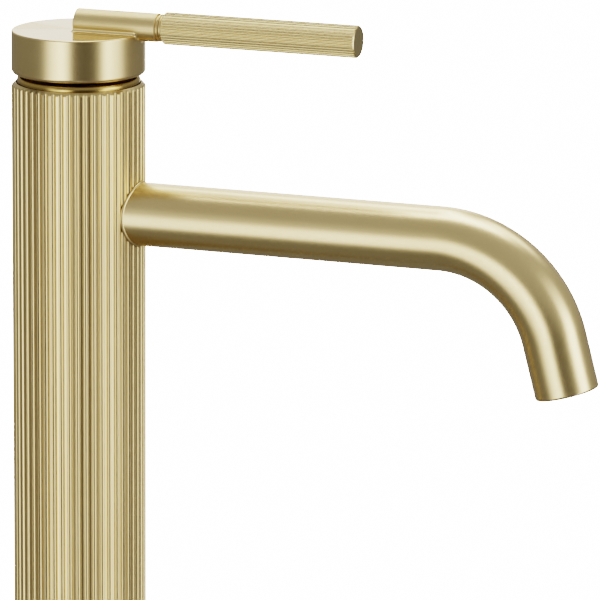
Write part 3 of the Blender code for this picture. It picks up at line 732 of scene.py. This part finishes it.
# Under the cap, a square socket takes the stem. The grip's stud, the grub screw and its plug have
# round holes.
half = STEM_SOCKET / 2
socket_top = shoulder + 15.1 * MM
socket = bmesh.new()
bmesh.ops.create_cube(socket, size=1.0)
socket_z = (hub_foot - MM, socket_top)
socket_size = Matrix.Diagonal((STEM_SOCKET, STEM_SOCKET, socket_z[1] - socket_z[0], 1.0))
socket_place = Matrix.Translation((0, 0, sum(socket_z) / 2))
bmesh.ops.transform(socket, matrix=socket_place @ socket_size, verts=socket.verts)
cap = combined(cap, "DIFFERENCE", socket)

STUD_BORE_R = 2.8 * MM
PLUG_HOLE_R = 2.3 * MM
plug_low, plug_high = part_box("index_plug")
plug_z = (plug_low.z + plug_high.z) / 2
stud_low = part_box("grip_stud")[0]
bores = (
    (lever_z, STUD_BORE_R, stud_low.x - END_GAP, neck_end + MM),
    (plug_z, PLUG_HOLE_R, -CAP_R - MM, -CAP_BORE_R + MM),
    (plug_z, PLUG_HOLE_R, -HUB_R - MM, -half + MM),
)
for z, radius, start, end in bores:
    bore = turned([(0, start), (radius, start), (radius, end), (0, end)], sides=40)
    bmesh.ops.transform(bore, matrix=Matrix.Translation((0, 0, z)) @ z_to_x, verts=bore.verts)
    cap = combined(cap, "DIFFERENCE", bore)

# The cap's top is faced in the lathe, which leaves it glossier than its side, in soft clouds.
gold_faced = finish("gold_faced", 1.0, GOLD, 18.0, (6, 6, 6), (0.12, 0.17), 0.0004)

# The arm is brushed from end to end by hand, 0.5 mm apart, so its highlights smear round it.
gold_arm = finish("gold_brushed_arm", 1.0, GOLD, 18.0, (90, 0.5, 0.5), (0.42, 0.48), 0.0015)
cap = form("cap_and_arm", cap, gold_round)
cap.data.materials.append(gold_faced)
cap.data.materials.append(gold_arm)
FACED_SLOT, ARM_SLOT = 1, 2
NEAR = 0.01 * MM
LEVEL = 0.99
for face in cap.data.polygons:
    from_lever = math.hypot(face.center.y, face.center.z - lever_z)
    if face.center.z > cap_top - NEAR and face.normal.z > LEVEL and from_lever > ARM_R:
        face.material_index = FACED_SLOT
    elif from_lever < ARM_R + NEAR and face.center.x > ARM_START - NEAR:
        face.material_index = ARM_SLOT
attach(cap, "lever")
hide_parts("handle_cap")

# The plug that hides the grub screw is a plain gold button pushed into the cap's back.
PLUG_R, PLUG_EDGE = 2.0 * MM, 0.3 * MM
DOME_SHARE, DOME_FALL, DOME_EDGE_FALL = 0.6, 0.03 * MM, 0.1 * MM
button = turned(
    [
        (0, plug_low.x),
        (DOME_SHARE * PLUG_R, plug_low.x + DOME_FALL),
        *arc(
            (PLUG_R - PLUG_EDGE, plug_low.x + DOME_EDGE_FALL + PLUG_EDGE), PLUG_EDGE, -90, 0, steps=4
        ),
        (PLUG_R, plug_high.x),
        (0, plug_high.x),
    ],
    sides=48,
)
button_place = Matrix.Translation((0, 0, plug_z)) @ z_to_x
button = form("screw_cover_button", button, gold_satin, button_place)
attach(button, "lever")
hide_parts("index_plug")

# ---- Grip ----------------------------------------------------------------------------------------
# A brass bar with 36 fine reeds along it, chamfered at both ends, screwed to the arm on a stud.

GRIP_R, GRIP_CHAMFER, GRIP_BORE_R = 5.7 * MM, 0.5 * MM, 2.8 * MM
BORE_PAST_STUD = 2 * MM
bore_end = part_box("grip_stud")[1].x + BORE_PAST_STUD
REEDS, REED_DEPTH, REED_R, REED_EDGE_R = 36, 0.28 * MM, 0.4 * MM, 0.09 * MM
reeds = grooved(GRIP_R, REEDS, REED_DEPTH, REED_R, REED_EDGE_R, steps=4)
end_r = GRIP_R - GRIP_CHAMFER
grip_start, grip_end = grip_low.x, grip_high.x


def chamfer_in(r):
    """How far from the grip's end its chamfer meets that radius."""
    return r - end_r


grip = loft(
    [
        [(0, 0, bore_end)],
        around(reeds, lambda r: (GRIP_BORE_R, bore_end)),
        around(reeds, lambda r: (GRIP_BORE_R, grip_start)),
        around(reeds, lambda r: (end_r, grip_start)),
        around(reeds, lambda r: (r, grip_start + chamfer_in(r))),
        around(reeds, lambda r: (r, grip_end - chamfer_in(r))),
        around(reeds, lambda r: (end_r, grip_end)),
        [(0, 0, grip_end)],
    ]
)

# The same gold coat, painted a little darker as painted shade for the reeds, brushed along the bar
# before it is reeded: level streaks 0.3 mm apart.
BAR_GOLD_IN_PAINTED_SHADE = ("#E6D4A6", "#DCC899")
gold_reeded = finish(
    "gold_brushed_bar", 1.0, BAR_GOLD_IN_PAINTED_SHADE, 20.0, (90, 0.3, 0.3), (0.18, 0.26), 0.0004
)
grip = form("reeded_grip", grip, gold_reeded, along_x)
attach(grip, "lever")
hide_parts("lever_grip")

# ---- Studio --------------------------------------------------------------------------------------
# A white sweep under and behind the mixer, soft lights low on its left and broad ones on its right,
# and large ones above and behind it. The camera side is left dark, so the metal has dark bands.

VIEW_AZIMUTH = math.radians(20.0)
to_camera = Vector((math.sin(VIEW_AZIMUTH), -math.cos(VIEW_AZIMUTH), 0))
to_right = Vector((math.cos(VIEW_AZIMUTH), math.sin(VIEW_AZIMUTH), 0))

# Soft lights round the mixer, in degrees: azimuth from the camera's side, positive to the right,
# elevation, half the width, half the height, softness of the edges, and brightness. One with a
# brightness below nothing is a dark flag, which takes light away.
LIGHTS = (
    (-22.5, -8, 9, 15, 4, 1.3),
    (-37, -12, 14, 15, 22, 1.35),
    (-50, 12, 7, 13, 8, 0.4),
    (-40, -27, 25, 5, 8, 0.9),
    (51, -12, 8, 11, 4, 1.1),
    (64, -12, 17, 11, 22, 0.8),
    (66, 10, 17, 14, 10, 1.8),
    (70, 5, 8, 10, 12, 0.5),
    (55, -30, 11, 8, 8, 0.8),
    (65, 32, 22, 6, 10, 0.55),
    (-8, -34, 15, 10, 8, 0.35),
    (-18, -25, 13, 8, 8, -1.3),
    (10, -5, 20, 15, 8, -0.1),
    (180, 15, 10, 20, 8, 0.84),
    (176, -14, 16, 12, 10, 1.1),
    (180, 79, 82, 14, 12, 2.7),
    (184, 54, 10, 12, 8, 2.6),
    (140, 52, 20, 12, 14, 1.5),
    (-128, 50, 30, 13, 10, -0.3),
)
world = bpy.data.worlds.new("studio")
bpy.context.scene.world = world
world.use_nodes = True
tree = world.node_tree
direction = add(tree, "ShaderNodeTexCoord").outputs["Generated"]
forward = add(tree, "ShaderNodeVectorMath", {"operation": "DOT_PRODUCT", 1: to_camera}, {0: direction})
sideways = add(tree, "ShaderNodeVectorMath", {"operation": "DOT_PRODUCT", 1: to_right}, {0: direction})
azimuth = add(
    tree,
    "ShaderNodeMath",
    {"operation": "ARCTAN2"},
    {0: sideways.outputs["Value"], 1: forward.outputs["Value"]},
)
upward = add(tree, "ShaderNodeSeparateXYZ", {}, {0: direction})
elevation = add(tree, "ShaderNodeMath", {"operation": "ARCSINE"}, {0: upward.outputs["Z"]})
# The room itself is dim, and a little brighter above the level of the eye than below it.
ROOM_EDGE = math.radians(12)
ROOM_LOW, ROOM_HIGH = 0.18, 0.33
dusk = {"From Min": -ROOM_EDGE, "From Max": ROOM_EDGE, "To Min": ROOM_LOW, "To Max": ROOM_HIGH}
glow = add(tree, "ShaderNodeMapRange", dusk, {"Value": elevation.outputs[0]}).outputs[0]


def share_of_light(angle, centre, half_size, soft):
    """1 inside a light's two edges along one angle, 0 outside them, and between as it fades."""
    minus = {"operation": "SUBTRACT", 1: math.radians(centre)}
    off = add(tree, "ShaderNodeMath", minus, {0: angle.outputs[0]})
    half_turn = {"operation": "WRAP", 1: math.pi, 2: -math.pi}
    near = add(tree, "ShaderNodeMath", half_turn, {0: off.outputs[0]})
    apart = add(tree, "ShaderNodeMath", {"operation": "ABSOLUTE"}, {0: near.outputs[0]})
    fade = {
        "interpolation_type": "SMOOTHSTEP",
        "From Min": math.radians(half_size - soft / 2),
        "From Max": math.radians(half_size + soft / 2),
        "To Min": 1.0,
        "To Max": 0.0,
    }
    return add(tree, "ShaderNodeMapRange", fade, {"Value": apart.outputs[0]}).outputs[0]


for across_deg, up_deg, half_width, half_height, soft, brightness in LIGHTS:
    across = share_of_light(azimuth, across_deg, half_width, soft)
    along = share_of_light(elevation, up_deg, half_height, soft)
    both = add(tree, "ShaderNodeMath", {"operation": "MULTIPLY"}, {0: across, 1: along})
    sum_up = {"operation": "MULTIPLY_ADD", 1: brightness}
    glow = add(tree, "ShaderNodeMath", sum_up, {0: both.outputs[0], 2: glow}).outputs[0]
lit = add(tree, "ShaderNodeMath", {"operation": "MAXIMUM", 1: 0.0}, {0: glow})

# The sweep itself looks white to the camera, and the metal sees only the lights.
SWEEP_WHITE = 12.0
seen = add(tree, "ShaderNodeLightPath").outputs["Is Camera Ray"]
white = {"data_type": "FLOAT", 3: SWEEP_WHITE}
strength = add(tree, "ShaderNodeMix", white, {0: seen, 2: lit.outputs[0]})
tree.links.new(strength.outputs[0], tree.nodes["Background"].inputs["Strength"])
tree.nodes["Background"].inputs["Color"].default_value = linear("#FFFFFF")

FLOOR_SIZE = 30.0
SHADE_REACH = 0.06
SHADE_FULL, SHADE_WHITE = 0.35, 1.6
sheet = bmesh.new()
bmesh.ops.create_grid(sheet, x_segments=1, y_segments=1, size=FLOOR_SIZE / 2)
paper = bpy.data.materials.new("white_paper_sweep")
paper.use_nodes = True
paper.cycles.emission_sampling = "NONE"
tree = paper.node_tree
tree.nodes.remove(tree.nodes["Principled BSDF"])
# The paper glows evenly white, with a painted shadow that dims its glow where the foot stands on it.
shade = add(tree, "ShaderNodeAmbientOcclusion", {"samples": 16, "Distance": SHADE_REACH})
open_sky = {"From Min": SHADE_FULL, "From Max": 1.0, "To Min": SHADE_WHITE, "To Max": SWEEP_WHITE}
paper_glow = add(tree, "ShaderNodeMapRange", open_sky, {"Value": shade.outputs["AO"]})
emission = add(tree, "ShaderNodeEmission", {}, {"Strength": paper_glow.outputs[0]})
tree.links.new(emission.outputs[0], tree.nodes["Material Output"].inputs["Surface"])
floor_mesh = bpy.data.meshes.new("floor")
sheet.to_mesh(floor_mesh)
sheet.free()
floor_mesh.materials.append(paper)
floor = bpy.data.objects.new("floor", floor_mesh)
bpy.context.scene.collection.objects.link(floor)
floor.visible_glossy = False
floor.visible_diffuse = False

# The camera stands two metres off, a little to the right of the column's front and above it.
VIEW_ELEVATION = math.radians(12.88)
VIEW_ROLL = math.radians(0.33)
VIEW_DISTANCE = 2.0
LENS_MM = 340.3
aim_right, aim_below_shoulder = 77.81 * MM, 78.06 * MM
back = to_camera * math.cos(VIEW_ELEVATION) + Vector((0, 0, math.sin(VIEW_ELEVATION)))
level_up = back.cross(to_right)
right = to_right * math.cos(VIEW_ROLL) + level_up * math.sin(VIEW_ROLL)
up = level_up * math.cos(VIEW_ROLL) - to_right * math.sin(VIEW_ROLL)
target = to_right * aim_right + Vector((0, 0, shoulder - aim_below_shoulder))
lens = bpy.data.cameras.new("camera")
lens.lens = LENS_MM
camera = bpy.data.objects.new("camera", lens)
bpy.context.scene.collection.objects.link(camera)
turn = Matrix((right, up, back)).transposed().to_4x4()
camera.matrix_world = Matrix.Translation(target + back * VIEW_DISTANCE) @ turn
bpy.context.scene.camera = camera

# Film-like tones keep the gold's bright bands from clipping to yellow.
bpy.context.scene.view_settings.view_transform = "Filmic"
bpy.context.scene.view_settings.look = "Very High Contrast"
